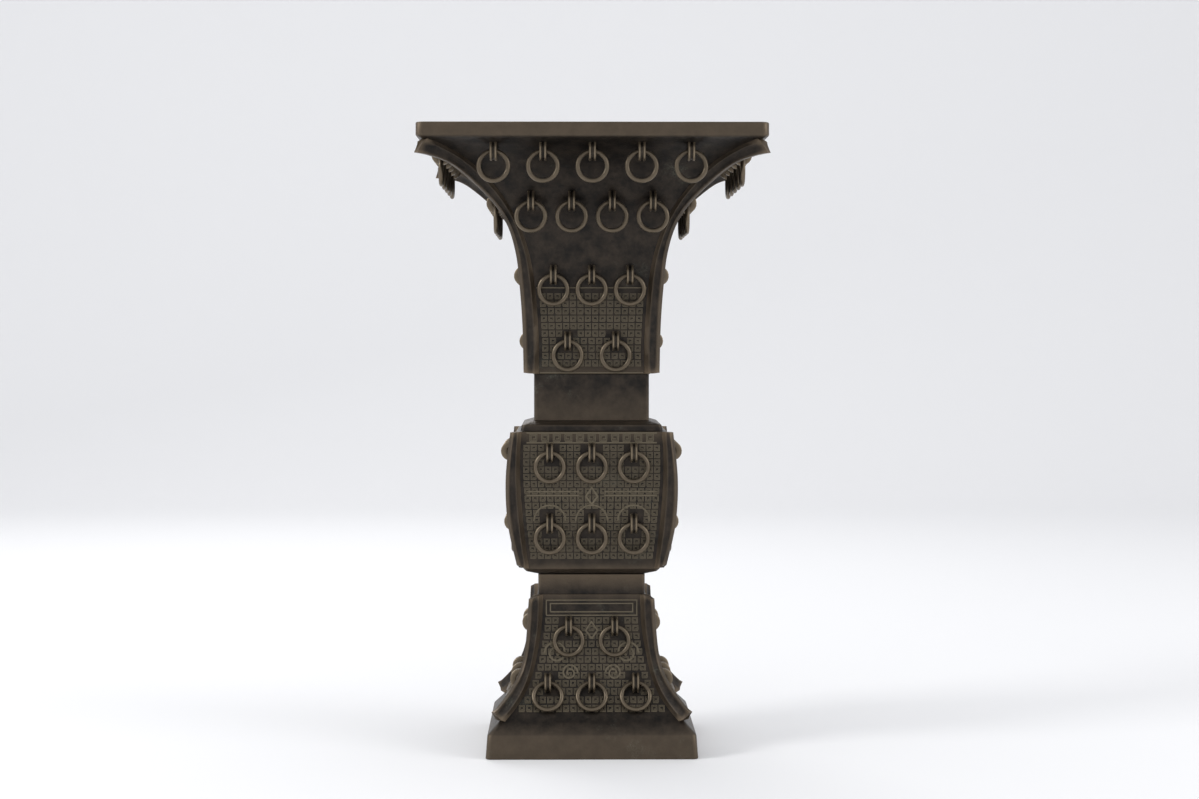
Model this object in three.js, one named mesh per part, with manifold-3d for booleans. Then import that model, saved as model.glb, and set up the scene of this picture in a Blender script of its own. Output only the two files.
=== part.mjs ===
// Square bronze beaker vase in the hundred-ring form: a flared mouth, a bulb and a spreading foot, each
// a hollow casting with fins on its corners, and rings that hang in small loops on all four faces.
// Millimetres, +Z up, origin at the middle of the underside, front face toward -Y.
import * as THREE from 'three';
import { mergeVertices } from 'three/addons/utils/BufferGeometryUtils.js';
import Module from 'manifold-3d';

const wasm = await Module();
wasm.setup();

// Driving dimensions of the vessel, as half widths of the square and heights over the table
const totalHeight = 450;
const rimHalf = 122;
const rimBandHeight = 9.6;
const rimThickness = 4;
const neckHalf = 41.8;
const neckTop = 274.6;
const neckFoot = 241.3;
const bulbTop = 241;
const bulbFoot = 129;
const lowerNeckHalf = 38.9;
const lowerNeckTop = 128.7;
const lowerNeckFoot = 114.6;
const plinthHalf = 76.1;
const plinthTopHalf = 74.8;
const plinthHeight = 17.3;
const wall = 3.5;
const seatGap = 0.3;

// Spigots that locate one casting in the next, and the floor let into the lower one
const upperSpigotHalf = 38;
const upperSpigotFoot = 233;
const spigotWall = 3.3;
const lowerSpigotHalf = 34.9;
const lowerSpigotFoot = 118;
const floorLedge = 3;
const floorLedgeHalf = 27;
const floorThickness = 3;

// Corners of the square section
const cornerSteps = 2;
const sharpCorner = 2.5;
const rimCorner = 5;

// Fins: thickness at the tip, where the concave sides start, and how deep the root is sunk
const finThickness = 3.5;
const finWaist = 4.4;
const finWaistPlace = 0.45;
const finRamp = 4;
const finSink = 0.5;
const finAnchor = 2.5;

// A loop is a flat staple bent to a D, and a ring is a round wire
const loopOuter = 7.1;
const loopInner = 2.8;
const loopStand = 3.4;
const loopWidth = 5.1;
const loopSink = 1.2;
const loopOuterSteps = 3;
const loopInnerSteps = 3;
const ringRadius = 10.3;
const wireRadius = 1.7;
const looseSides = 4;
const fusedSides = 3;
const ringSteps = 10;
const ringDrop = 0.75;
const fusedDrop = 2.3;

// Outlines of the panels and of the fins' tips, from the bottom up, as half width and height
const outline = (...points) => new THREE.SplineCurve(points.map(([half, z]) => new THREE.Vector2(half, z)));
const mouthPanel = outline([42.5, 275.2], [42.6, 305], [46, 346], [53, 374.6], [66.1, 400.3], [85.8, 422],
  [105, 434], [117.6, 438.6]);
const mouthTip = outline([48.2, 276], [49, 310], [50.9, 338], [53.6, 362], [60, 383], [72.4, 400.6],
  [95.8, 420.8], [110.9, 427], [121.7, 428.6]);
const bulbPanel = outline([49.5, 134], [51.3, 148], [53.4, 167.3], [55.5, 195], [55.7, 218.5], [54.6, 233.4]);
const bulbTip = outline([53.1, 137], [59.4, 167], [60.9, 199], [57.6, 233.2]);
const footPanel = outline([66.4, 25.8], [58.5, 34.5], [51.2, 46], [46.2, 60], [42.8, 76], [40.3, 93],
  [39.4, 114.2]);
const footTip = outline([70.9, 33.3], [67.8, 35.5], [59.7, 44.9], [53.3, 54.7], [49.4, 64.9], [46.7, 80.8],
  [44.7, 111.3]);
const panelSteps = { mouth: 12, bulb: 6, foot: 8 };

// Rows of rings from the rim down. A lean is the angle at which a ring rests out from plumb on the wall,
// and rings of the hanging rows are loose on every face.
const rows = [
  { name: 'rim', carrier: 'mouth', count: 5, pitch: 34.4, height: 434.2, lean: 0, hanging: true },
  { name: 'flare', carrier: 'mouth', count: 4, pitch: 29, height: 400.3, lean: 0, hanging: true },
  { name: 'throat', carrier: 'mouth', count: 3, pitch: 27.7, height: 347, lean: 0, hanging: false },
  { name: 'neck', carrier: 'mouth', count: 2, pitch: 34.8, height: 299, lean: 0, hanging: false },
  { name: 'shoulder', carrier: 'bulb', count: 3, pitch: 30.3, height: 218.5, lean: 0, hanging: false },
  { name: 'belly', carrier: 'bulb', count: 3, pitch: 30.3, height: 167.4, lean: 0, hanging: false },
  { name: 'stem', carrier: 'foot', count: 2, pitch: 33.5, height: 91, lean: 5.8, hanging: false },
  { name: 'spread', carrier: 'foot', count: 3, pitch: 31.8, height: 50.5, lean: 29.5, hanging: false },
];
const faceNames = ['front', 'right', 'back', 'left'];
const quarter = Math.PI / 2;

const bronze = new THREE.MeshStandardMaterial({ color: 0x3a2f25, roughness: 0.55, metalness: 0.85 });
const ringBronze = new THREE.MeshStandardMaterial({ color: 0x55483a, roughness: 0.45, metalness: 0.9 });
const floorBronze = new THREE.MeshStandardMaterial({ color: 0x2b241d, roughness: 0.7, metalness: 0.8 });

// One ring of points round the rounded square of a given half width
function squareSection(half, z) {
  const radius = THREE.MathUtils.mapLinear(half, floorLedgeHalf, rimHalf, sharpCorner, rimCorner);
  const middle = half - radius;
  const points = [];
  for (let corner = 0; corner < 4; corner += 1) {
    const centre = new THREE.Vector2(middle, middle).rotateAround(new THREE.Vector2(), corner * quarter);
    for (let step = 0; step <= cornerSteps; step += 1) {
      const angle = (corner + step / cornerSteps) * quarter;
      const x = centre.x + radius * Math.cos(angle);
      const y = centre.y + radius * Math.sin(angle);
      points.push(new THREE.Vector3(x, y, z));
    }
  }
  return points;
}

// Skin over a row of sections, closed on itself or capped with fans from each end section's first point
function skin(sections, closed) {
  const size = sections[0].length;
  const geometry = new THREE.BufferGeometry().setFromPoints(sections.flat());
  const index = [];
  const rowCount = closed ? sections.length : sections.length - 1;
  for (let row = 0; row < rowCount; row += 1) {
    const next = (row + 1) % sections.length;
    for (let side = 0; side < size; side += 1) {
      const a = row * size + side;
      const b = row * size + (side + 1) % size;
      const c = next * size + (side + 1) % size;
      const d = next * size + side;
      index.push(a, b, c, a, c, d);
    }
  }
  const last = (sections.length - 1) * size;
  for (let side = 1; side < size - 1 && !closed; side += 1) {
    index.push(0, side + 1, side, last, last + side, last + side + 1);
  }
  geometry.setIndex(index);
  return geometry;
}

// A closed mesh as a solid that can be joined and cut
function solid(geometry) {
  const bare = geometry.clone();
  bare.deleteAttribute('normal');
  bare.deleteAttribute('uv');
  const merged = mergeVertices(bare);
  const vertProperties = new Float32Array(merged.attributes.position.array);
  const triVerts = new Uint32Array(merged.index.array);
  return new wasm.Manifold(new wasm.Mesh({ numProp: 3, vertProperties, triVerts }));
}

// The joined solid as a geometry
function geometryOf(body) {
  const mesh = body.getMesh();
  const geometry = new THREE.BufferGeometry();
  geometry.setAttribute('position', new THREE.BufferAttribute(mesh.vertProperties, 3));
  geometry.setIndex(new THREE.BufferAttribute(mesh.triVerts, 1));
  geometry.computeVertexNormals();
  return geometry;
}

// Outward normal of a panel's outline at a share of its length
function outwardAt(panel, share) {
  const tangent = panel.getTangentAt(share);
  return new THREE.Vector2(tangent.y, -tangent.x);
}

// Points along a panel's outline, and the same points moved in by a wall's thickness
function panelPoints(panel, steps, inward = 0) {
  const points = [];
  for (let step = 0; step <= steps; step += 1) {
    const share = step / steps;
    points.push(panel.getPointAt(share).addScaledVector(outwardAt(panel, share), -inward));
  }
  return points;
}

// A hollow square body from the closed outline of its wall, up the outside and down the inside
function shell(profile) {
  return skin(profile.map((point) => squareSection(point.x, point.y)), true);
}

// One fin on the corner toward +X +Y, lofted between the panel's edge and the tip outline
function cornerFin(panel, tip, steps) {
  const sections = [];
  for (let step = 0; step <= steps; step += 1) {
    const share = step / steps;
    const edge = panel.getPointAt(share);
    const outward = outwardAt(panel, share);
    const root = edge.clone().addScaledVector(outward, -finSink);
    const anchor = edge.clone().addScaledVector(outward, -finAnchor);
    const end = tip.getPointAt(share);
    const waist = edge.clone().lerp(end, finWaistPlace);
    const waistSpread = finWaist / 2 / Math.SQRT2;
    const tipSpread = finThickness / 2 / Math.SQRT2;
    sections.push([
      new THREE.Vector3(anchor.x, anchor.x, anchor.y),
      new THREE.Vector3(root.x, root.x - finRamp, root.y),
      new THREE.Vector3(waist.x + waistSpread, waist.x - waistSpread, waist.y),
      new THREE.Vector3(end.x + tipSpread, end.x - tipSpread, end.y),
      new THREE.Vector3(end.x - tipSpread, end.x + tipSpread, end.y),
      new THREE.Vector3(waist.x - waistSpread, waist.x + waistSpread, waist.y),
      new THREE.Vector3(root.x - finRamp, root.x, root.y),
    ]);
  }
  return skin(sections, false);
}

// Place on the wall of a panel at a height: half width there and the slope of the normal
function wallAt(panel, steps, height) {
  const points = panelPoints(panel, steps);
  const above = points.findIndex((point) => point.y >= height);
  const low = points[above - 1];
  const high = points[above];
  const share = (height - low.y) / (high.y - low.y);
  const half = THREE.MathUtils.lerp(low.x, high.x, share);
  const slope = Math.atan2(-(high.x - low.x), high.y - low.y);
  return { half, slope };
}

const panels = { mouth: mouthPanel, bulb: bulbPanel, foot: footPanel };

// Where the rings of a row hang: along the face, out from the axis, and up
function rowPlaces(row) {
  const { half, slope } = wallAt(panels[row.carrier], panelSteps[row.carrier], row.height);
  const out = half + loopStand * Math.cos(slope);
  const up = row.height + loopStand * Math.sin(slope);
  const places = [];
  for (let step = 0; step < row.count; step += 1) {
    const along = (step - (row.count - 1) / 2) * row.pitch;
    places.push({ along, out, up, half, slope });
  }
  return places;
}

// A loop, with its legs sunk into the wall at the origin and its bow toward -Y
function loopGeometry() {
  const shape = new THREE.Shape();
  shape.moveTo(-loopSink, -loopOuter);
  shape.lineTo(loopStand, -loopOuter);
  for (let step = 1; step <= loopOuterSteps; step += 1) {
    const angle = -quarter + 2 * quarter * step / loopOuterSteps;
    shape.lineTo(loopStand + loopOuter * Math.cos(angle), loopOuter * Math.sin(angle));
  }
  shape.lineTo(-loopSink, loopOuter);
  shape.lineTo(-loopSink, loopInner);
  shape.lineTo(loopStand, loopInner);
  for (let step = 1; step <= loopInnerSteps; step += 1) {
    const angle = quarter - 2 * quarter * step / loopInnerSteps;
    shape.lineTo(loopStand + loopInner * Math.cos(angle), loopInner * Math.sin(angle));
  }
  shape.lineTo(-loopSink, -loopInner);
  const geometry = new THREE.ExtrudeGeometry(shape, { depth: loopWidth, bevelEnabled: false });
  geometry.translate(0, 0, -loopWidth / 2);
  const toFace = new THREE.Matrix4().makeBasis(
    new THREE.Vector3(0, -1, 0),
    new THREE.Vector3(0, 0, 1),
    new THREE.Vector3(-1, 0, 0),
  );
  return geometry.applyMatrix4(toFace);
}

// A ring that hangs from the origin in the plane of the face, a straight run of its wire uppermost
function ringGeometry(sides) {
  const geometry = new THREE.TorusGeometry(ringRadius, wireRadius, sides, ringSteps);
  geometry.rotateX(quarter);
  geometry.translate(0, 0, -ringRadius * Math.cos(Math.PI / ringSteps));
  return geometry;
}

const loopSolid = solid(loopGeometry());
const ringSolid = solid(ringGeometry(fusedSides));
const degrees = (radians) => THREE.MathUtils.radToDeg(radians);

// Joins the loops of every face to a casting, and the rings that are cast in place
function withLoops(casting, carrier) {
  let body = casting;
  for (const row of rows.filter((item) => item.carrier === carrier)) {
    for (const place of rowPlaces(row)) {
      for (let face = 0; face < faceNames.length; face += 1) {
        const loop = loopSolid
          .rotate([-degrees(place.slope), 0, 0])
          .translate([place.along, -place.half, row.height])
          .rotate([0, 0, 90 * face]);
        body = body.add(loop);
        if (face > 0 && !row.hanging) {
          const ring = ringSolid
            .rotate([-row.lean, 0, 0])
            .translate([place.along, -place.out, place.up - fusedDrop])
            .rotate([0, 0, 90 * face]);
          body = body.add(ring);
        }
      }
    }
  }
  return body;
}

// Joins a fin to each corner of a casting
function withFins(casting, panel, tip, steps) {
  const fin = solid(cornerFin(panel, tip, steps));
  let body = casting;
  for (let corner = 0; corner < 4; corner += 1) {
    body = body.add(fin.rotate([0, 0, 90 * corner]));
  }
  return body;
}

const at = (half, z) => new THREE.Vector2(half, z);

// Mouth casting: spigot, plain neck, flared panels and the upright rim band
function mouthCasting() {
  const outside = panelPoints(mouthPanel, panelSteps.mouth);
  const inside = panelPoints(mouthPanel, panelSteps.mouth, wall).reverse();
  const rimFoot = totalHeight - rimBandHeight;
  const innerNeck = neckHalf - wall;
  const boreHalf = upperSpigotHalf - spigotWall;
  const profile = [
    at(upperSpigotHalf, upperSpigotFoot),
    at(upperSpigotHalf, neckFoot),
    at(neckHalf, neckFoot),
    at(neckHalf, neckTop),
    ...outside,
    at(rimHalf - 1.6, rimFoot - 0.8),
    at(rimHalf, rimFoot + 0.8),
    at(rimHalf, totalHeight - 1),
    at(rimHalf - 1, totalHeight),
    at(rimHalf - rimThickness, totalHeight),
    at(rimHalf - rimThickness - 1, totalHeight - 1),
    ...inside,
    at(innerNeck, neckFoot + 12),
    at(boreHalf, neckFoot + 6),
    at(boreHalf, upperSpigotFoot),
  ];
  const casting = withFins(solid(shell(profile)), mouthPanel, mouthTip, panelSteps.mouth);
  return withLoops(casting, 'mouth');
}

// Bulb casting: lower spigot with the ledge for the floor, swelling panels and a stepped shoulder
function bulbCasting() {
  const outside = panelPoints(bulbPanel, panelSteps.bulb);
  const inside = panelPoints(bulbPanel, panelSteps.bulb, wall).slice(1, -1).reverse();
  const collarHalf = upperSpigotHalf + seatGap;
  const boreHalf = lowerSpigotHalf - wall;
  const profile = [
    at(lowerSpigotHalf, lowerSpigotFoot),
    at(lowerSpigotHalf, bulbFoot),
    at(lowerNeckHalf, bulbFoot + 0.3),
    at(47.4, 131.8),
    ...outside,
    at(51.5, 234.2),
    at(50.3, 238.5),
    at(neckHalf + 0.4, bulbTop),
    at(collarHalf, bulbTop),
    at(collarHalf, bulbTop - 4),
    at(47, 235),
    at(50.6, 230),
    ...inside,
    at(44, 136.5),
    at(boreHalf, bulbFoot + 3),
    at(boreHalf, lowerSpigotFoot + floorLedge),
    at(floorLedgeHalf, lowerSpigotFoot + floorLedge),
    at(floorLedgeHalf, lowerSpigotFoot),
  ];
  const casting = withFins(solid(shell(profile)), bulbPanel, bulbTip, panelSteps.bulb);
  return withLoops(casting, 'bulb');
}

// Foot casting: plinth, spreading panels and the plain lower neck, open below
function footCasting() {
  const outside = panelPoints(footPanel, panelSteps.foot);
  const inside = panelPoints(footPanel, panelSteps.foot, wall).slice(1, -1).reverse();
  const boreHalf = lowerSpigotHalf + seatGap;
  const profile = [
    at(plinthHalf - 0.8, 0),
    at(plinthHalf, 0.8),
    at(plinthTopHalf, plinthHeight),
    at(67, 25.3),
    ...outside,
    at(lowerNeckHalf, lowerNeckFoot),
    at(lowerNeckHalf, lowerNeckTop),
    at(boreHalf, lowerNeckTop),
    at(boreHalf, 111),
    ...inside,
    at(62, 22),
    at(plinthTopHalf - wall - 1, plinthHeight - 3),
    at(plinthHalf - wall - 1, 0),
  ];
  const casting = withFins(solid(shell(profile)), footPanel, footTip, panelSteps.foot);
  return withLoops(casting, 'foot');
}

// Floor of the vessel, a plate that lies on the ledge in the lower spigot
function floorPlate() {
  const half = lowerSpigotHalf - wall - seatGap;
  const underside = lowerSpigotFoot + floorLedge + seatGap;
  const sections = [squareSection(half, underside), squareSection(half, underside + floorThickness)];
  return skin(sections, false);
}

function named(name, geometry, material) {
  const mesh = new THREE.Mesh(geometry, material);
  mesh.name = name;
  return mesh;
}

// Loose rings of one face, each hung from its own loop
function looseRings(face) {
  const group = new THREE.Group();
  group.rotation.z = face * quarter;
  for (const row of rows.filter((item) => face === 0 || item.hanging)) {
    rowPlaces(row).forEach((place, step) => {
      const ring = named(`ring_${faceNames[face]}_${row.name}_${step + 1}`, ringGeometry(looseSides),
        ringBronze);
      ring.position.set(place.along, -place.out, place.up - ringDrop);
      ring.rotation.x = -THREE.MathUtils.degToRad(row.lean);
      group.add(ring);
    });
  }
  return group;
}

const vase = new THREE.Group();
vase.add(named('mouth_casting', geometryOf(mouthCasting()), bronze));
vase.add(named('bulb_casting', geometryOf(bulbCasting()), bronze));
vase.add(named('foot_casting', geometryOf(footCasting()), bronze));
vase.add(named('floor_plate', floorPlate(), floorBronze));
faceNames.forEach((name, face) => vase.add(looseRings(face)));

export default vase;
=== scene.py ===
"""Square bronze beaker vase with hanging rings, dressed for a studio view."""

import logging
import math
from dataclasses import dataclass, field
from enum import Enum

import bmesh
import bpy
from mathutils import Matrix, Vector


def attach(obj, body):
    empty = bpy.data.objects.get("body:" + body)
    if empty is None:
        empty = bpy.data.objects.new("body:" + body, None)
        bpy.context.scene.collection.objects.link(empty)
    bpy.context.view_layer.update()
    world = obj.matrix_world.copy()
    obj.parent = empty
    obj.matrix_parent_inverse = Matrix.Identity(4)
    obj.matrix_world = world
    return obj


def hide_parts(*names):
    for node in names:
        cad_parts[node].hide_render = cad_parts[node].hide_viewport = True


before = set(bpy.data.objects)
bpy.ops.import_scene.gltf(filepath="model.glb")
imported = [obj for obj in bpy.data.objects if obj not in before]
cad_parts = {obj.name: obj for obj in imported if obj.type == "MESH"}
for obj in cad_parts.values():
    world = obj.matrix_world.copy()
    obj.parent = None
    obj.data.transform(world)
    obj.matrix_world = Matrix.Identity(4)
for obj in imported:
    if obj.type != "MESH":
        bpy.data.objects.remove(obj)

LOG = logging.getLogger("vase")
MM = 0.001
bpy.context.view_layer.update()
VESSEL = "vessel"
QUARTER = math.pi / 2
STRETCH_STEPS = 40

# Sockets of a colour mix node, whose names repeat for each kind of value
MIX_SHARE = 0
MIX_FIRST = 6
MIX_SECOND = 7
MIX_RESULT = 2

Outline = list[tuple[float, float]]
Span = tuple[float, float]
Colour = tuple[float, float, float]
Paint = Colour | bpy.types.NodeSocket


class Face(Enum):
    """Faces of the vase, each a quarter turn on from the last."""

    FRONT = 0
    RIGHT = 1
    BACK = 2
    LEFT = 3

    def turn(self) -> Matrix:
        """Return the turn about the vase's axis that brings the front onto this face."""
        return Matrix.Rotation(self.value * QUARTER, 4, "Z")


@dataclass(frozen=True)
class Row:
    """One row of loops and rings on each face, in millimetres and degrees."""

    name: str
    panel: str
    count: int
    pitch: float
    height: float
    lean: float = 0
    hanging: bool = False

    def places(self) -> list[float]:
        """Return where the row's loops stand along the face, from left to right."""
        return [(number - (self.count - 1) / 2) * self.pitch for number in range(self.count)]


@dataclass(frozen=True)
class Pattern:
    """A noise pattern: how fine it is, its detail, and the span of it that shows."""

    scale: float
    detail: float
    span: Span = (0, 1)
    roughness: float = 0.65


class PatinaNodes:
    """The shader nodes of one bronze, which read the piece's object coordinates."""

    def __init__(self, material: bpy.types.Material) -> None:
        """Start from a new material's own shader.

        Args:
            material: The material that takes the nodes.
        """
        material.use_nodes = True
        self.nodes = material.node_tree.nodes
        self.links = material.node_tree.links
        self.shader = self.nodes["Principled BSDF"]
        self.place = self.nodes.new("ShaderNodeTexCoord")

    def noise(self, pattern: Pattern) -> bpy.types.NodeSocket:
        """Add a noise texture.

        Args:
            pattern: Its fineness and detail.

        Returns:
            The noise's value, from 0 to 1.
        """
        texture = self.nodes.new("ShaderNodeTexNoise")
        texture.inputs["Scale"].default_value = pattern.scale
        texture.inputs["Detail"].default_value = pattern.detail
        texture.inputs["Roughness"].default_value = pattern.roughness
        self.links.new(self.place.outputs["Object"], texture.inputs["Vector"])
        return texture.outputs["Fac"]

    def ramp(self, source: bpy.types.NodeSocket, span: Span, onto: Span = (0, 1)) -> bpy.types.NodeSocket:
        """Add a ramp that spreads a span of a value onto another span.

        Args:
            source: The value.
            span: Its values where the ramp starts and ends.
            onto: What the ramp gives there.

        Returns:
            The ramp's value.
        """
        scale = self.nodes.new("ShaderNodeMapRange")
        scale.inputs["From Min"].default_value, scale.inputs["From Max"].default_value = span
        scale.inputs["To Min"].default_value, scale.inputs["To Max"].default_value = onto
        self.links.new(source, scale.inputs["Value"])
        return scale.outputs["Result"]

    def product(self, first: bpy.types.NodeSocket, second: bpy.types.NodeSocket) -> bpy.types.NodeSocket:
        """Add a multiplication.

        Args:
            first: One value.
            second: The other value.

        Returns:
            The two values multiplied.
        """
        times = self.nodes.new("ShaderNodeMath")
        times.operation = "MULTIPLY"
        self.links.new(first, times.inputs[0])
        self.links.new(second, times.inputs[1])
        return times.outputs["Value"]

    def mix(self, share: bpy.types.NodeSocket, first: Paint, second: Paint) -> bpy.types.NodeSocket:
        """Add a mix of two colours, each written out or from another node.

        Args:
            share: How much of the second colour shows.
            first: The colour where the share is 0.
            second: The colour where the share is 1.

        Returns:
            The mixed colour.
        """
        blend = self.nodes.new("ShaderNodeMix")
        blend.data_type = "RGBA"
        self.links.new(share, blend.inputs[MIX_SHARE])
        for socket, side in ((blend.inputs[MIX_FIRST], first), (blend.inputs[MIX_SECOND], second)):
            if isinstance(side, tuple):
                socket.default_value = (*side, 1)
            else:
                self.links.new(side, socket)
        return blend.outputs[MIX_RESULT]

    def sharpness(self) -> bpy.types.NodeSocket:
        """Return how sharply the surface bends outward."""
        return self.nodes.new("ShaderNodeNewGeometry").outputs["Pointiness"]

    def bump(self, height: bpy.types.NodeSocket, strength: float, depth: float) -> None:
        """Roughen the shader's surface.

        Args:
            height: The roughness's height, from 0 to 1.
            strength: How strongly it shows.
            depth: Its depth in metres.
        """
        bump = self.nodes.new("ShaderNodeBump")
        bump.inputs["Strength"].default_value = strength
        bump.inputs["Distance"].default_value = depth
        self.links.new(height, bump.inputs["Height"])
        self.links.new(bump.outputs["Normal"], self.shader.inputs["Normal"])


@dataclass(frozen=True)
class Bronze:
    """A patinated bronze: its colours from the recesses to the rubbed edges."""

    name: str
    deep: Colour
    body: Colour
    rubbed: Colour
    dust: Colour
    dust_share: float
    metallic: float
    roughness: float
    grain: float
    grain_depth: float = 0.4
    mottle: Pattern = Pattern(scale=95, detail=8, span=(0.36, 0.66))
    patches: Pattern = Pattern(scale=34, detail=10, span=(0.62, 0.78))
    speckle: Pattern = Pattern(scale=900, detail=4, span=(0.4, 0.62))
    smears: Pattern = Pattern(scale=210, detail=6)
    pits: Pattern = Pattern(scale=620, detail=8)
    edge_span: Span = (0.515, 0.6)
    smear_span: Span = (-0.12, 0.16)

    def colour(self, nodes: PatinaNodes) -> bpy.types.NodeSocket:
        """Mottle the metal, powder its hollows with dust and rub its edges.

        Args:
            nodes: The nodes of the bronze's material.

        Returns:
            The finished colour.
        """
        mottle = nodes.ramp(nodes.noise(self.mottle), self.mottle.span)
        base = nodes.mix(mottle, self.deep, self.body)
        low, high = self.patches.span
        patches = nodes.ramp(nodes.noise(self.patches), (low - self.dust_share, high - self.dust_share))
        speckle = nodes.ramp(nodes.noise(self.speckle), self.speckle.span)
        powdered = nodes.mix(nodes.product(patches, speckle), base, self.dust)
        edges = nodes.ramp(nodes.sharpness(), self.edge_span)
        return nodes.mix(edges, powdered, self.rubbed)

    def material(self) -> bpy.types.Material:
        """Make the bronze a material.

        Returns:
            The new material.
        """
        made = bpy.data.materials.new(self.name)
        nodes = PatinaNodes(made)
        nodes.shader.inputs["Metallic"].default_value = self.metallic
        nodes.links.new(self.colour(nodes), nodes.shader.inputs["Base Color"])
        low, high = self.smear_span
        onto = self.roughness + low, self.roughness + high
        gloss = nodes.ramp(nodes.noise(self.smears), self.smears.span, onto)
        nodes.links.new(gloss, nodes.shader.inputs["Roughness"])
        nodes.bump(nodes.noise(self.pits), self.grain, self.grain_depth * MM)
        return made


def spline(points: Outline, steps: int) -> list[Vector]:
    """Space points evenly on a smooth curve through an outline.

    Args:
        points: Half widths and heights from the bottom up.
        steps: How many equal stretches the curve is cut into.

    Returns:
        steps + 1 two-dimensional points.
    """
    fine: list[Vector] = []
    last = len(points) - 1
    for index in range(last):
        before, start = Vector(points[max(index - 1, 0)]), Vector(points[index])
        end, after = Vector(points[index + 1]), Vector(points[min(index + 2, last)])
        pull_in, pull_out = (end - before) / 2, (after - start) / 2
        cubic = (start - end) * 2 + pull_in + pull_out
        square = (end - start) * 3 - pull_in * 2 - pull_out
        for step in range(STRETCH_STEPS):
            t = step / STRETCH_STEPS
            fine.append(cubic * t ** 3 + square * t ** 2 + pull_in * t + start)
    fine.append(Vector(points[last]))
    lengths = [0.0]
    for first, second in zip(fine, fine[1:]):
        lengths.append(lengths[-1] + (second - first).length)
    even: list[Vector] = []
    place = 0
    for step in range(steps + 1):
        goal = lengths[-1] * step / steps
        while place < len(fine) - 2 and lengths[place + 1] < goal:
            place += 1
        share = (goal - lengths[place]) / (lengths[place + 1] - lengths[place])
        even.append(fine[place].lerp(fine[place + 1], share))
    return even


def normals(points: list[Vector]) -> list[Vector]:
    """Find the outward normals of an outline that runs upward.

    Args:
        points: The outline's points.

    Returns:
        The normal at each point.
    """
    found = []
    for index in range(len(points)):
        run = points[min(index + 1, len(points) - 1)] - points[max(index - 1, 0)]
        found.append(Vector((run.y, -run.x)).normalized())
    return found


def lofted(sections: list[list[Vector]], closed: bool) -> bmesh.types.BMesh:
    """Stretch a skin over closed sections, extruded from each to the next.

    Args:
        sections: Rings of points in metres, with the same number in each.
        closed: True where the last section joins the first, False for caps.

    Returns:
        The skin, with its normals outward.
    """
    made = bmesh.new()
    corners = [made.verts.new(point) for point in sections[0]]
    edges = [made.edges.new(pair) for pair in zip(corners, corners[1:] + corners[:1])]
    first_edges = list(edges)
    for section in sections[1:]:
        grown = bmesh.ops.extrude_edge_only(made, edges=edges)["geom"]
        raised = {item for item in grown if isinstance(item, bmesh.types.BMVert)}
        new_corners = [next(edge.other_vert(corner) for edge in corner.link_edges
                            if edge.other_vert(corner) in raised) for corner in corners]
        for corner, point in zip(new_corners, section):
            corner.co = point
        pairs = zip(new_corners, new_corners[1:] + new_corners[:1])
        edges = [made.edges.get(pair) for pair in pairs]
        corners = new_corners
    if closed:
        bmesh.ops.bridge_loops(made, edges=first_edges + edges)
    else:
        bmesh.ops.contextual_create(made, geom=first_edges)
        bmesh.ops.contextual_create(made, geom=edges)
    bmesh.ops.recalc_face_normals(made, faces=made.faces)
    return made


def add_skin(made: bmesh.types.BMesh, extra: bmesh.types.BMesh) -> None:
    """Add one skin to another.

    Args:
        made: The skin that grows.
        extra: The skin that goes into it, which is freed here.
    """
    mesh = bpy.data.meshes.new("skin")
    extra.to_mesh(mesh)
    extra.free()
    made.from_mesh(mesh)
    bpy.data.meshes.remove(mesh)


def square_section(half: float, z: float, radius: float, steps: int = 5) -> list[Vector]:
    """Draw a level square with rounded corners.

    Args:
        half: Half its width in millimetres.
        z: Its height in millimetres.
        radius: The radius of its corners in millimetres.
        steps: How many stretches each corner has.

    Returns:
        Its points in metres.
    """
    section = []
    for corner in range(4):
        centre = Matrix.Rotation(corner * QUARTER, 2) @ Vector((half - radius, half - radius))
        for step in range(steps + 1):
            angle = (corner + step / steps) * QUARTER
            x, y = centre.x + radius * math.cos(angle), centre.y + radius * math.sin(angle)
            section.append(Vector((x, y, z)) * MM)
    return section


def finish_piece(name: str, made: bmesh.types.BMesh, material: bpy.types.Material,
                 body: str = VESSEL, replaced: tuple[str, ...] = (), smooth: float = 32) -> bpy.types.Object:
    """Turn a skin into a named piece that rides on a body.

    Args:
        name: The piece's name.
        made: Its skin, which is freed here.
        material: Its finish.
        body: The body that carries it.
        replaced: CAD nodes that it stands for.
        smooth: Edges sharper than this angle in degrees stay sharp.

    Returns:
        The new object.
    """
    for face in made.faces:
        face.smooth = True
    for edge in made.edges:
        edge.smooth = len(edge.link_faces) == 2 and edge.calc_face_angle(0) < math.radians(smooth)
    mesh = bpy.data.meshes.new(name)
    made.to_mesh(mesh)
    made.free()
    mesh.materials.append(material)
    piece = bpy.data.objects.new(name, mesh)
    bpy.context.scene.collection.objects.link(piece)
    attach(piece, body)
    if replaced:
        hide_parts(*replaced)
    LOG.info("%s: %d faces on %s", name, len(mesh.polygons), body)
    return piece


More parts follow.
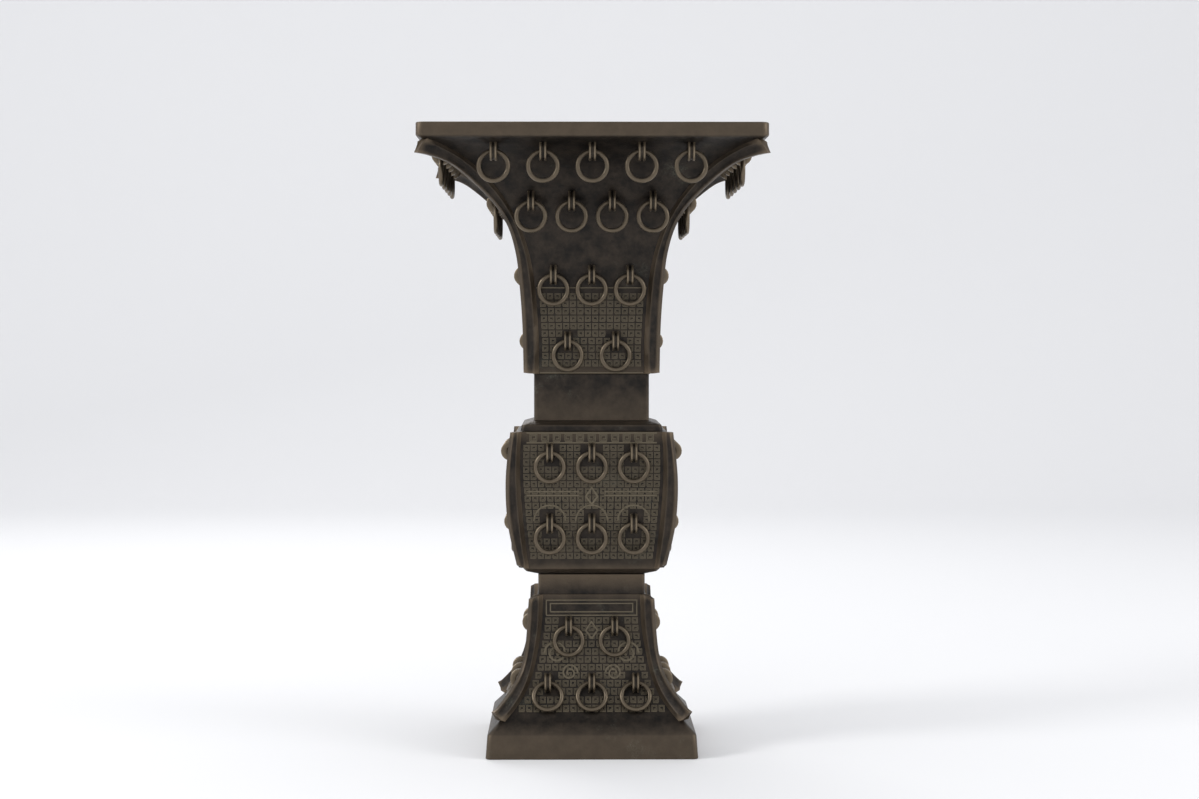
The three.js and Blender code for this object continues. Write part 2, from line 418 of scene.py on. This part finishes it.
@dataclass
class Panel:
    """The outline of a decorated section's panels and of the tips of its fins.

    The flank of a fin is a list of shares of the way to its tip, and its width there.
    """

    wall_line: Outline
    tip_line: Outline
    steps: int
    fin_sink: float = 2.5
    root_sink: float = 0.5
    root_reach: float = 4
    flank: tuple[Span, ...] = ((0.2, 6.6), (0.45, 4.4), (0.75, 3.6), (0.97, 3.5))
    tip_width: float = 2.8
    wall: list[Vector] = field(init=False)

    def __post_init__(self) -> None:
        """Step the panel's outline finely, once."""
        self.wall = spline(self.wall_line, self.steps)

    def at(self, height: float) -> tuple[float, float]:
        """Look up the panel at a height.

        Args:
            height: A height in millimetres.

        Returns:
            The half width there, and the slope of the normal in radians.
        """
        for low, high in zip(self.wall, self.wall[1:]):
            if low.y <= height <= high.y:
                share = (height - low.y) / (high.y - low.y)
                return low.x + share * (high.x - low.x), math.atan2(-(high.x - low.x), high.y - low.y)
        end = self.wall[0] if height < self.wall[0].y else self.wall[-1]
        return end.x, 0.0

    def beside(self, middle: Vector, width: float) -> tuple[float, float, float]:
        """Return the point half a fin's width to one side of the corner's diagonal."""
        spread = width / 2 / math.sqrt(2)
        return middle.x - spread, middle.x + spread, middle.y

    def fin_sections(self) -> list[list[Vector]]:
        """Cut one corner fin, with its concave sides, into sections.

        Returns:
            Closed sections in metres, from the bottom up.
        """
        sections = []
        for edge, normal, end in zip(self.wall, normals(self.wall), spline(self.tip_line, self.steps)):
            root, anchor = edge - normal * self.root_sink, edge - normal * self.fin_sink
            side = [(root.x - self.root_reach, root.x, root.y)]
            side += [self.beside(edge.lerp(end, share), width) for share, width in self.flank]
            side += [self.beside(end, self.tip_width)]
            around = [(anchor.x, anchor.x, anchor.y)] + side + [(y, x, z) for x, y, z in reversed(side)]
            sections.append([Vector(point) * MM for point in around])
        return sections


def decorated_panels() -> dict[str, Panel]:
    """Draw the panels of the three decorated sections.

    Returns:
        The panels by the names of their castings.
    """
    mouth_wall = [(42.5, 275.2), (42.6, 305), (46, 346), (53, 374.6), (66.1, 400.3), (85.8, 422), (105, 434),
                  (117.6, 438.6)]
    mouth_tips = [(48.2, 276), (49, 310), (50.9, 338), (53.6, 362), (60, 383), (72.4, 400.6), (95.8, 420.8),
                  (110.9, 427), (121.7, 428.6)]
    bulb_wall = [(49.5, 134), (51.3, 148), (53.4, 167.3), (55.5, 195), (55.7, 218.5), (54.6, 233.4)]
    bulb_tips = [(53.1, 137), (59.4, 167), (60.9, 199), (57.6, 233.2)]
    foot_wall = [(66.4, 25.8), (58.5, 34.5), (51.2, 46), (46.2, 60), (42.8, 76), (40.3, 93), (39.4, 114.2)]
    foot_tips = [(70.9, 33.3), (67.8, 35.5), (59.7, 44.9), (53.3, 54.7), (49.4, 64.9), (46.7, 80.8),
                 (44.7, 111.3)]
    return {
        "mouth": Panel(mouth_wall, mouth_tips, steps=48),
        "bulb": Panel(bulb_wall, bulb_tips, steps=24),
        "foot": Panel(foot_wall, foot_tips, steps=30),
    }


@dataclass
class Vessel:
    """The three castings of the body, with their corner fins, in millimetres.

    The mouth stands on the bulb with a spigot inside it, and the bulb stands so on the foot.
    """

    wall: float = 3.5
    height: float = 450
    rim_half: float = 122
    neck_half: float = 41.8
    stem_half: float = 38.9
    plinth_half: float = 76.1
    mouth_seam: float = 241.3
    mouth_spigot_half: float = 38
    mouth_spigot_foot: float = 233
    mouth_bore_half: float = 34.7
    bulb_seam: float = 129
    bulb_spigot_half: float = 34.9
    bulb_spigot_foot: float = 118
    bulb_bore_half: float = 31.4
    ledge_half: float = 27
    ledge_top: float = 121
    socket_half: float = 35.2
    corner_radius: float = 2.2
    sharp_half: float = 30
    corner_growth: float = 0.03
    panels: dict[str, Panel] = field(default_factory=decorated_panels)

    def outer(self, name: str) -> Outline:
        """Return the outside of a panel's wall, from the bottom up."""
        return [(point.x, point.y) for point in self.panels[name].wall]

    def inner(self, name: str, low: float, high: float) -> Outline:
        """Draw the inside of a panel's wall.

        Args:
            name: The panel's name.
            low: The height that it stays above.
            high: The height that it stays below.

        Returns:
            Its half widths and heights, from the top down.
        """
        wall = self.panels[name].wall
        shifted = [point - normal * self.wall for point, normal in zip(wall, normals(wall))]
        return [(point.x, point.y) for point in reversed(shifted) if low < point.y < high]

    def mouth_profile(self) -> Outline:
        """Draw the wall of the mouth casting, up its outside and down its inside.

        Returns:
            Its closed outline.
        """
        rim, top = self.rim_half, self.height
        panel_foot, bore_top, bore_end = 274.6, 253.3, 247.3
        spigot_half = self.mouth_spigot_half
        spigot = [(spigot_half, self.mouth_spigot_foot), (spigot_half, self.mouth_seam)]
        neck = [(self.neck_half, self.mouth_seam), (self.neck_half, panel_foot)]
        band = [(rim - 1.6, top - 10.4), (rim - 0.4, top - 9.6), (rim, top - 8.8), (rim, top - 1),
                (rim - 0.3, top - 0.3), (rim - 1, top)]
        lip = [(rim - 4, top), (rim - 4.7, top - 0.4), (rim - 5, top - 1)]
        bore = [(self.neck_half - self.wall, bore_top), (self.mouth_bore_half, bore_end),
                (self.mouth_bore_half, self.mouth_spigot_foot)]
        return [*spigot, *neck, *self.outer("mouth"), *band, *lip, *self.inner("mouth", 0, top), *bore]

    def bulb_profile(self) -> Outline:
        """Draw the wall of the bulb casting, up its outside and down its inside.

        Returns:
            Its closed outline.
        """
        seat, socket_foot = 241, 237
        socket_half = self.neck_half - self.wall
        spigot = [(self.bulb_spigot_half, self.bulb_spigot_foot), (self.bulb_spigot_half, self.bulb_seam)]
        underside = [(self.stem_half, self.bulb_seam + 0.3), (47.4, 131.8)]
        shoulder = [(51.5, 234.2), (50.6, 238.2), (50.1, 238.6), (42.2, seat)]
        socket = [(socket_half, seat), (socket_half, socket_foot), (47, 235), (50.6, 230)]
        bore = [(44, 136.5), (self.bulb_bore_half, 132), (self.bulb_bore_half, self.ledge_top)]
        ledge = [(self.ledge_half, self.ledge_top), (self.ledge_half, self.bulb_spigot_foot)]
        return [*spigot, *underside, *self.outer("bulb"), *shoulder, *socket, *self.inner("bulb", 138, 229),
                *bore, *ledge]

    def foot_profile(self) -> Outline:
        """Draw the wall of the foot casting, up its outside and down its inside.

        Returns:
            Its closed outline.
        """
        edge, stem_top, socket_foot = self.plinth_half, 128.7, 111
        plinth = [(edge - 0.8, 0), (edge - 0.2, 0.3), (edge, 0.9), (edge - 1.2, 16.6), (edge - 1.8, 17.8)]
        step = [(67.2, 25.1)]
        stem = [(self.stem_half, 114.6), (self.stem_half, stem_top)]
        socket = [(self.socket_half, stem_top), (self.socket_half, socket_foot)]
        hollow = [(62, 22), (70.3, 14.3), (71.6, 0)]
        return [*plinth, *step, *self.outer("foot"), *stem, *socket, *self.inner("foot", 28, 108), *hollow]

    def shell(self, profile: Outline) -> bmesh.types.BMesh:
        """Build a hollow square body.

        Args:
            profile: The closed outline of its wall.

        Returns:
            Its skin, with corners that are rounder where it is wider.
        """
        sections = []
        for half, z in profile:
            radius = self.corner_radius + max(half - self.sharp_half, 0) * self.corner_growth
            sections.append(square_section(half, z, radius))
        return lofted(sections, True)

    def casting(self, name: str, profile: Outline, material: bpy.types.Material) -> None:
        """Build one casting and its four corner fins.

        Args:
            name: The panel's name, mouth, bulb or foot.
            profile: The closed outline of the casting's wall.
            material: Its bronze.
        """
        made = self.shell(profile)
        for face in Face:
            fin = lofted(self.panels[name].fin_sections(), False)
            fin.transform(face.turn())
            add_skin(made, fin)
        finish_piece(f"{name}_cast", made, material, replaced=(f"{name}_casting",))

    def build(self, material: bpy.types.Material) -> None:
        """Build the three castings round the CAD floor plate.

        Args:
            material: Their bronze.
        """
        self.casting("mouth", self.mouth_profile(), material)
        self.casting("bulb", self.bulb_profile(), material)
        self.casting("foot", self.foot_profile(), material)


@dataclass
class RingWork:
    """The loops on every face and the rings that hang in them, in millimetres."""

    vessel: Vessel
    ring_radius: float = 10.3
    ring_trim: float = 0.1
    ring_steps: int = 40
    ring_drop: float = 0.75
    cad_ring_steps: int = 10
    wire: float = 1.7
    wire_sides: int = 10
    merge_gap: float = 0.01
    loop_inner: float = 2.8
    loop_outer: float = 7.1
    loop_width: float = 5.1
    loop_sink: float = 1
    loop_steps: int = 10
    stand: float = 3.4
    inner_bevel: Span = (0.3, 0.35)
    outer_bevel: Span = (0.4, 0.5)
    groove_half: float = 1.05
    groove_floor: float = 0.7
    groove_depth: float = 0.7
    ring_smooth: float = 60
    loop_smooth: float = 40
    rows: tuple[Row, ...] = (
        Row("rim", "mouth", count=5, pitch=34.4, height=434.2, hanging=True),
        Row("flare", "mouth", count=4, pitch=29, height=400.3, hanging=True),
        Row("throat", "mouth", count=3, pitch=27.7, height=347),
        Row("neck", "mouth", count=2, pitch=34.8, height=299),
        Row("shoulder", "bulb", count=3, pitch=30.3, height=218.5),
        Row("belly", "bulb", count=3, pitch=30.3, height=167.4),
        Row("stem", "foot", count=2, pitch=33.5, height=91, lean=5.8),
        Row("spread", "foot", count=3, pitch=31.8, height=50.5, lean=29.5),
    )

    def band(self) -> Outline:
        """Draw the cut through a loop's strip, with its groove outward.

        Returns:
            Places across the strip and their reach from the hole's middle.
        """
        half, low, high = self.loop_width / 2, self.loop_inner, self.loop_outer
        in_across, in_deep = self.inner_bevel
        out_across, out_deep = self.outer_bevel
        floor = high - self.groove_depth
        return [(-half + in_across, low), (half - in_across, low), (half, low + in_deep),
                (half, high - out_deep), (half - out_across, high), (self.groove_half, high),
                (self.groove_floor, floor), (-self.groove_floor, floor), (-self.groove_half, high),
                (-half + out_across, high), (-half, high - out_deep), (-half, low + in_deep)]

    def loop_mesh(self) -> bpy.types.Mesh:
        """Bend one grooved loop, its legs at the origin and its bow toward -Y.

        Returns:
            The loop's mesh, in metres.
        """
        turns = [(-self.loop_sink, -QUARTER)]
        for step in range(self.loop_steps + 1):
            turns.append((self.stand, -QUARTER + math.pi * step / self.loop_steps))
        turns.append((-self.loop_sink, QUARTER))
        sections = []
        for out, angle in turns:
            sections.append([Vector((across, -(out + reach * math.cos(angle)), reach * math.sin(angle))) * MM
                             for across, reach in self.band()])
        made = lofted(sections, False)
        mesh = bpy.data.meshes.new("loop")
        made.to_mesh(mesh)
        made.free()
        return mesh

    def ring(self, pivot: Matrix) -> bmesh.types.BMesh:
        """Build a round ring.

        Args:
            pivot: The place and lean of the top of its wire.

        Returns:
            Its skin, which hangs from the pivot.
        """
        made = bmesh.new()
        wire = bmesh.ops.create_circle(made, segments=self.wire_sides, radius=self.wire * MM)
        out = Matrix.Translation((0, 0, (self.ring_radius - self.ring_trim) * MM))
        bmesh.ops.transform(made, matrix=out @ Matrix.Rotation(QUARTER, 4, "Y"), verts=wire["verts"])
        bmesh.ops.spin(made, geom=made.verts[:] + made.edges[:], cent=(0, 0, 0), axis=(0, 1, 0),
                       angle=2 * math.pi, steps=self.ring_steps, use_merge=True)
        bmesh.ops.remove_doubles(made, verts=made.verts, dist=self.merge_gap * MM)
        bmesh.ops.recalc_face_normals(made, faces=made.faces)
        drop = self.ring_radius * math.cos(math.pi / self.cad_ring_steps)
        bmesh.ops.transform(made, matrix=pivot @ Matrix.Translation((0, 0, -drop * MM)), verts=made.verts)
        return made

    def seats(self, face: Face, row: Row) -> list[tuple[Matrix, Matrix]]:
        """Place the loops and rings of a row.

        Args:
            face: The face that carries them.
            row: The row.

        Returns:
            For each loop, its seat on the wall and the pivot of its ring.
        """
        half, slope = self.vessel.panels[row.panel].at(row.height)
        out = half + self.stand * math.cos(slope)
        up = row.height + self.stand * math.sin(slope) - self.ring_drop
        seats = []
        for along in row.places():
            seat = Matrix.Translation(Vector((along, -half, row.height)) * MM)
            pivot = Matrix.Translation(Vector((along, -out, up)) * MM)
            seats.append((face.turn() @ seat @ Matrix.Rotation(-slope, 4, "X"),
                          face.turn() @ pivot @ Matrix.Rotation(-math.radians(row.lean), 4, "X")))
        return seats

    def build(self, material: bpy.types.Material) -> None:
        """Build all loops, the rings that are cast in place and the loose rings.

        Args:
            material: Their bronze.
        """
        loop = self.loop_mesh()
        for face in Face:
            side = face.name.lower()
            loops = bmesh.new()
            fixed = bmesh.new()
            for row in self.rows:
                for number, (seat, pivot) in enumerate(self.seats(face, row), 1):
                    copy = loop.copy()
                    copy.transform(seat)
                    loops.from_mesh(copy)
                    bpy.data.meshes.remove(copy)
                    ring = self.ring(pivot)
                    if face is Face.FRONT or row.hanging:
                        name = f"ring_{side}_{row.name}_{number}"
                        finish_piece(f"{name}_round", ring, material, name, (name,),
                                     self.ring_smooth)
                    else:
                        add_skin(fixed, ring)
            finish_piece(f"loops_{side}", loops, material, smooth=self.loop_smooth)
            if fixed.faces:
                finish_piece(f"rings_{side}_cast", fixed, material, smooth=self.ring_smooth)
            else:
                fixed.free()
        bpy.data.meshes.remove(loop)


@dataclass
class Relief:
    """Cast ornament on the panels: square spirals, framing lines, lozenges and curls.

    Sizes are in millimetres. A curl is its place along the face, its height, its size, the
    hand that it winds to, and its width. A frame is its reach, its foot and its top.
    """

    vessel: Vessel
    rows: tuple[Row, ...]
    ridge_width: float = 0.62
    ridge_height: float = 0.36
    ridge_sink: float = 0.3
    crest_share: float = 0.3
    least_mitre: float = 0.5
    cell: float = 5.2
    cell_fill: float = 0.74
    cell_margin: float = 6
    clear_up: float = 9
    clear_along: float = 5.5
    spiral_pitches: float = 5.4
    curl_steps: int = 21
    curl_half_turns: float = 3.4
    curl_closing: float = 0.8
    lozenge_size: float = 6
    lozenge_share: float = 0.7
    lozenge_gap: float = 0.3
    lozenge_width: float = 1.8
    bulb_ground: Span = (141, 224.5)
    bulb_reach: float = 47
    band_lines: Span = (225.6, 232.6)
    band_width: float = 1.3
    band_spirals: int = 11
    band_pitch: float = 8.4
    band_spiral_size: float = 5
    band_spiral_width: float = 0.8
    band_middle: float = 229.1
    bar_heights: Span = (187.6, 190.4)
    bar_along: tuple[float, float, float] = (9, 28, 47)
    bar_width: float = 1.5
    bulb_lozenge: float = 187
    arch_radius: float = 11.5
    arch_height: float = 169
    arch_steps: int = 12
    arch_width: float = 1.6
    foot_ground: Span = (31, 98)
    foot_curls: tuple[tuple[float, float, float, int, float], ...] = (
        (26, 72, 17, 1, 2),
        (16, 58, 12, -1, 1.6),
    )
    foot_lozenge: float = 88
    foot_frames: tuple[tuple[float, float, float], ...] = ((33, 99, 110), (30, 101.5, 107.5))
    frame_gap: float = 0.2
    frame_width: float = 1.2
    mouth_ground: Span = (280, 334)
    mouth_lines: Span = (275.9, 337.5)
    mouth_line_margin: float = 5
    mouth_line_width: float = 1.1
    smooth: float = 30

    def on_wall(self, panel: Panel, along: float, height: float, lift: float) -> Vector:
        """Return a point over the front wall of a panel, in metres."""
        half, slope = panel.at(height)
        return Vector((along, -(half + lift * math.cos(slope)), height + lift * math.sin(slope))) * MM

    def ridge(self, made: bmesh.types.BMesh, panel: Panel, line: Outline, width: float) -> None:
        """Add a raised line that follows the wall.

        Args:
            made: The skin that takes the ridge.
            panel: The panel that it lies on.
            line: Places along the face and heights.
            width: The ridge's width at its foot.
        """
        corners = ((-0.5, -self.ridge_sink), (-self.crest_share, self.ridge_height),
                   (self.crest_share, self.ridge_height), (0.5, -self.ridge_sink))
        points = [Vector(point) for point in line]
        last = len(points) - 1
        sections = []
        for index, point in enumerate(points):
            run = points[min(index + 1, last)] - points[max(index - 1, 0)]
            mitre = 1.0
            if 0 < index < last:
                before = (point - points[index - 1]).normalized()
                run = before + (points[index + 1] - point).normalized()
                mitre = run.normalized().dot(before)
            side = Vector((-run.y, run.x)).normalized() / max(mitre, self.least_mitre) * width
            sections.append([self.on_wall(panel, point.x + side.x * across, point.y + side.y * across, lift)
                             for across, lift in corners])
        add_skin(made, lofted(sections, False))

    def spiral(self, along: float, height: float, size: float, hand: int) -> Outline:
        """Draw a square spiral from its rim to its heart.

        Args:
            along: Its middle along the face.
            height: Its middle's height.
            size: Its width.
            hand: 1 or -1 for the way it winds.

        Returns:
            Places along the face and heights.
        """
        reach = size / 2
        step = size / self.spiral_pitches
        second, third = reach - step, reach - 2 * step
        corners = [(-reach, -reach), (reach, -reach), (reach, reach), (-reach, reach),
                   (-reach, -second), (second, -second), (second, second), (-second, second),
                   (-second, -third), (third, -third)]
        return [(along + hand * x, height + y) for x, y in corners]

    def curl(self, along: float, height: float, size: float, hand: int) -> Outline:
        """Draw a rounded curl that winds in from its tail.

        Args:
            along: Its middle along the face.
            height: Its middle's height.
            size: Its width at the tail.
            hand: 1 or -1 for the way it winds.

        Returns:
            Places along the face and heights.
        """
        line = []
        for step in range(self.curl_steps + 1):
            angle = step / self.curl_steps * self.curl_half_turns * math.pi
            radius = size / 2 * (1 - self.curl_closing * step / self.curl_steps)
            line.append((along + hand * radius * math.cos(angle), height + radius * math.sin(angle)))
        return line

    def near_loop(self, name: str, along: float, height: float) -> bool:
        """Tell whether a place on a panel is too near a loop for a spiral.

        Args:
            name: The panel's name.
            along: The place along the face.
            height: Its height.

        Returns:
            True where the place stays plain.
        """
        return any(row.panel == name and abs(height - row.height) < self.clear_up
                   and min(abs(along - place) for place in row.places()) < self.clear_along
                   for row in self.rows)

    def ground(self, made: bmesh.types.BMesh, name: str, span: Span) -> None:
        """Cover a panel with square spirals, clear of its loops.

        Args:
            made: The skin that takes the spirals.
            name: The panel's name.
            span: The heights that the ground runs between.
        """
        panel = self.vessel.panels[name]
        low, high = span
        levels = int((high - low) // self.cell)
        for level in range(levels):
            height = low + (level + 0.5) * (high - low) / levels
            reach = panel.at(height)[0] - self.cell_margin
            across = max(int(2 * reach // self.cell), 1)
            for place in range(across):
                along = -reach + (place + 0.5) * 2 * reach / across
                if self.near_loop(name, along, height):
                    continue
                hand = 1 if (place + level) % 2 else -1
                self.ridge(made, panel, self.spiral(along, height, self.cell * self.cell_fill, hand),
                           self.ridge_width)

    def lozenge(self, made: bmesh.types.BMesh, panel: Panel, middle: float) -> None:
        """Add a lozenge on the middle line of a panel.

        Args:
            made: The skin that takes it.
            panel: The panel.
            middle: The height of its middle.
        """
        half = self.lozenge_size * self.lozenge_share
        low, high = middle - self.lozenge_size, middle + self.lozenge_size
        line = [(0, low), (half, middle), (0, high), (-half, middle), (0, low + self.lozenge_gap)]
        self.ridge(made, panel, line, self.lozenge_width)

    def on_bulb(self, made: bmesh.types.BMesh) -> None:
        """Add the bulb's ground, its band of spirals, its bars and lozenge, and its arches.

        Args:
            made: The skin that takes them.
        """
        panel = self.vessel.panels["bulb"]
        self.ground(made, "bulb", self.bulb_ground)
        for z in self.band_lines:
            self.ridge(made, panel, [(-self.bulb_reach, z), (0, z), (self.bulb_reach, z)], self.band_width)
        for number in range(self.band_spirals):
            along = (number - self.band_spirals // 2) * self.band_pitch
            hand = 1 if number % 2 else -1
            spiral = self.spiral(along, self.band_middle, self.band_spiral_size, hand)
            self.ridge(made, panel, spiral, self.band_spiral_width)
        for hand in (-1, 1):
            for z in self.bar_heights:
                self.ridge(made, panel, [(hand * along, z) for along in self.bar_along], self.bar_width)
        self.lozenge(made, panel, self.bulb_lozenge)
        belly = next(row for row in self.rows if row.name == "belly")
        radius = self.arch_radius
        angles = [math.pi * step / self.arch_steps for step in range(self.arch_steps + 1)]
        for along in belly.places():
            arch = [(along + radius * math.cos(angle), self.arch_height + radius * math.sin(angle))
                    for angle in angles]
            self.ridge(made, panel, arch, self.arch_width)

    def on_foot(self, made: bmesh.types.BMesh) -> None:
        """Add the foot's ground, its curls and lozenge, and the frames on its plain neck.

        Args:
            made: The skin that takes them.
        """
        panel = self.vessel.panels["foot"]
        self.ground(made, "foot", self.foot_ground)
        for side in (-1, 1):
            for along, height, size, hand, width in self.foot_curls:
                self.ridge(made, panel, self.curl(side * along, height, size, side * hand), width)
        self.lozenge(made, panel, self.foot_lozenge)
        for reach, low, high in self.foot_frames:
            line = [(-reach, low), (reach, low), (reach, high), (-reach, high),
                    (-reach, low + self.frame_gap)]
            self.ridge(made, panel, line, self.frame_width)

    def on_mouth(self, made: bmesh.types.BMesh) -> None:
        """Add the lines and the ground of the mouth's straight part.

        Args:
            made: The skin that takes them.
        """
        panel = self.vessel.panels["mouth"]
        for z in self.mouth_lines:
            reach = panel.at(z)[0] - self.mouth_line_margin
            self.ridge(made, panel, [(-reach, z), (0, z), (reach, z)], self.mouth_line_width)
        self.ground(made, "mouth", self.mouth_ground)

    def build(self, material: bpy.types.Material) -> None:
        """Build the ornament of the front, and repeat it on every face.

        Args:
            material: Its bronze.
        """
        front = bmesh.new()
        self.on_bulb(front)
        self.on_foot(front)
        self.on_mouth(front)
        template = bpy.data.meshes.new("ornament")
        front.to_mesh(template)
        front.free()
        for face in Face:
            made = bmesh.new()
            made.from_mesh(template)
            made.transform(face.turn())
            finish_piece(f"ornament_{face.name.lower()}", made, material, smooth=self.smooth)
        bpy.data.meshes.remove(template)


@dataclass(frozen=True)
class Lamp:
    """A soft square lamp, in metres and watts."""

    name: str
    place: tuple[float, float, float]
    size: float
    power: float


@dataclass
class Studio:
    """Pale floor and backdrop, soft lamps and the photograph's camera.

    Sizes are in metres and angles in degrees, with the lens and its sensor in millimetres.
    """

    distance: float = 1.64
    eye_height: float = 0.2997
    azimuth: float = -0.5
    pitch: float = 1.55
    yaw: float = 0.22
    lens: float = 66.06
    sensor: float = 36
    floor_half: float = 5
    floor_near: float = -4
    bend_start: float = 2.2
    bend_radius: float = 0.8
    bend_steps: int = 12
    backdrop_top: float = 4
    floor_colour: Colour = (0.88, 0.88, 0.885)
    floor_roughness: float = 0.9
    sky_colour: Colour = (0.96, 0.97, 1)
    sky_strength: float = 0.8
    aim_height: float = 0.25
    lamps: tuple[Lamp, ...] = (
        Lamp("key", place=(-2.0, -0.9, 1.5), size=0.7, power=22),
        Lamp("side", place=(1.9, -0.9, 1.1), size=1.0, power=12),
        Lamp("back", place=(-0.6, 1.6, 1.6), size=1.0, power=10),
    )

    def camera(self) -> None:
        """Set the camera that the photograph's perspective gave."""
        data = bpy.data.cameras.new("camera")
        data.lens = self.lens
        data.sensor_width = self.sensor
        data.sensor_fit = "HORIZONTAL"
        camera = bpy.data.objects.new("camera", data)
        side = math.radians(self.azimuth)
        camera.location = (self.distance * math.sin(side), -self.distance * math.cos(side), self.eye_height)
        camera.rotation_euler = (math.radians(90 - self.pitch), 0, -math.radians(self.yaw) + side)
        bpy.context.scene.collection.objects.link(camera)
        bpy.context.scene.camera = camera

    def pale(self) -> bpy.types.Material:
        """Make the floor's pale, dull finish.

        Returns:
            The new material.
        """
        made = bpy.data.materials.new("pale_floor")
        made.use_nodes = True
        shader = made.node_tree.nodes["Principled BSDF"]
        shader.inputs["Base Color"].default_value = (*self.floor_colour, 1)
        shader.inputs["Roughness"].default_value = self.floor_roughness
        return made

    def floor(self) -> None:
        """Build the floor with a backdrop that curves up behind the vase."""
        made = bmesh.new()
        start, radius = self.bend_start, self.bend_radius
        line = [(self.floor_near, 0.0), (start, 0.0)]
        for step in range(1, self.bend_steps + 1):
            angle = QUARTER * step / self.bend_steps
            line.append((start + radius * math.sin(angle), radius - radius * math.cos(angle)))
        line.append((start + radius, self.backdrop_top))
        corners = [made.verts.new((-self.floor_half, y, z)) for y, z in line]
        edges = [made.edges.new(pair) for pair in zip(corners, corners[1:])]
        grown = bmesh.ops.extrude_edge_only(made, edges=edges)["geom"]
        moved = [item for item in grown if isinstance(item, bmesh.types.BMVert)]
        bmesh.ops.translate(made, verts=moved, vec=(2 * self.floor_half, 0, 0))
        bmesh.ops.recalc_face_normals(made, faces=made.faces)
        for face in made.faces:
            face.smooth = True
        mesh = bpy.data.meshes.new("floor")
        made.to_mesh(mesh)
        made.free()
        mesh.materials.append(self.pale())
        floor = bpy.data.objects.new("floor", mesh)
        bpy.context.scene.collection.objects.link(floor)

    def hang(self, lamp: Lamp) -> None:
        """Hang a lamp that points at the vase.

        Args:
            lamp: The lamp.
        """
        data = bpy.data.lights.new(lamp.name, "AREA")
        data.size = lamp.size
        data.energy = lamp.power
        hung = bpy.data.objects.new(lamp.name, data)
        hung.location = lamp.place
        aim = Vector((0, 0, self.aim_height)) - Vector(lamp.place)
        hung.rotation_euler = aim.to_track_quat("-Z", "Y").to_euler()
        bpy.context.scene.collection.objects.link(hung)

    def light(self) -> None:
        """Light the vase softly from the upper left, with a pale world."""
        world = bpy.data.worlds.new("studio")
        world.use_nodes = True
        sky = world.node_tree.nodes["Background"]
        sky.inputs["Color"].default_value = (*self.sky_colour, 1)
        sky.inputs["Strength"].default_value = self.sky_strength
        bpy.context.scene.world = world
        for lamp in self.lamps:
            self.hang(lamp)


CAST_BRONZE = Bronze("cast_bronze", deep=(0.011, 0.0092, 0.0078), body=(0.04, 0.0305, 0.0225),
                     rubbed=(0.16, 0.12, 0.08), dust=(0.1, 0.1, 0.078), dust_share=0.03, metallic=0.7,
                     roughness=0.42, grain=0.5)
RELIEF_BRONZE = Bronze("relief_bronze", deep=(0.014, 0.0122, 0.0098), body=(0.047, 0.039, 0.029),
                       rubbed=(0.15, 0.125, 0.085), dust=(0.115, 0.115, 0.09), dust_share=0.06,
                       metallic=0.65, roughness=0.5, grain=0.45)
RUBBED_BRONZE = Bronze("rubbed_bronze", deep=(0.016, 0.0133, 0.0105), body=(0.052, 0.041, 0.03),
                       rubbed=(0.24, 0.19, 0.13), dust=(0.14, 0.13, 0.1), dust_share=0.02, metallic=0.8,
                       roughness=0.34, grain=0.35)
INNER_BRONZE = Bronze("inner_bronze", deep=(0.014, 0.012, 0.01), body=(0.05, 0.042, 0.03),
                      rubbed=(0.14, 0.11, 0.08), dust=(0.12, 0.12, 0.1), dust_share=0.14, metallic=0.55,
                      roughness=0.6, grain=0.5)


def main() -> None:
    """Build the studio, the vessel, its rings and its relief."""
    logging.basicConfig(level=logging.INFO)
    bpy.context.scene.view_settings.view_transform = "Standard"
    studio = Studio()
    studio.camera()
    vessel = Vessel()
    vessel.build(CAST_BRONZE.material())
    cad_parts["floor_plate"].material_slots[0].material = INNER_BRONZE.material()
    rings = RingWork(vessel)
    rings.build(RUBBED_BRONZE.material())
    Relief(vessel, rings.rows).build(RELIEF_BRONZE.material())
    studio.floor()
    studio.light()


if __name__ == "__main__":
    main()
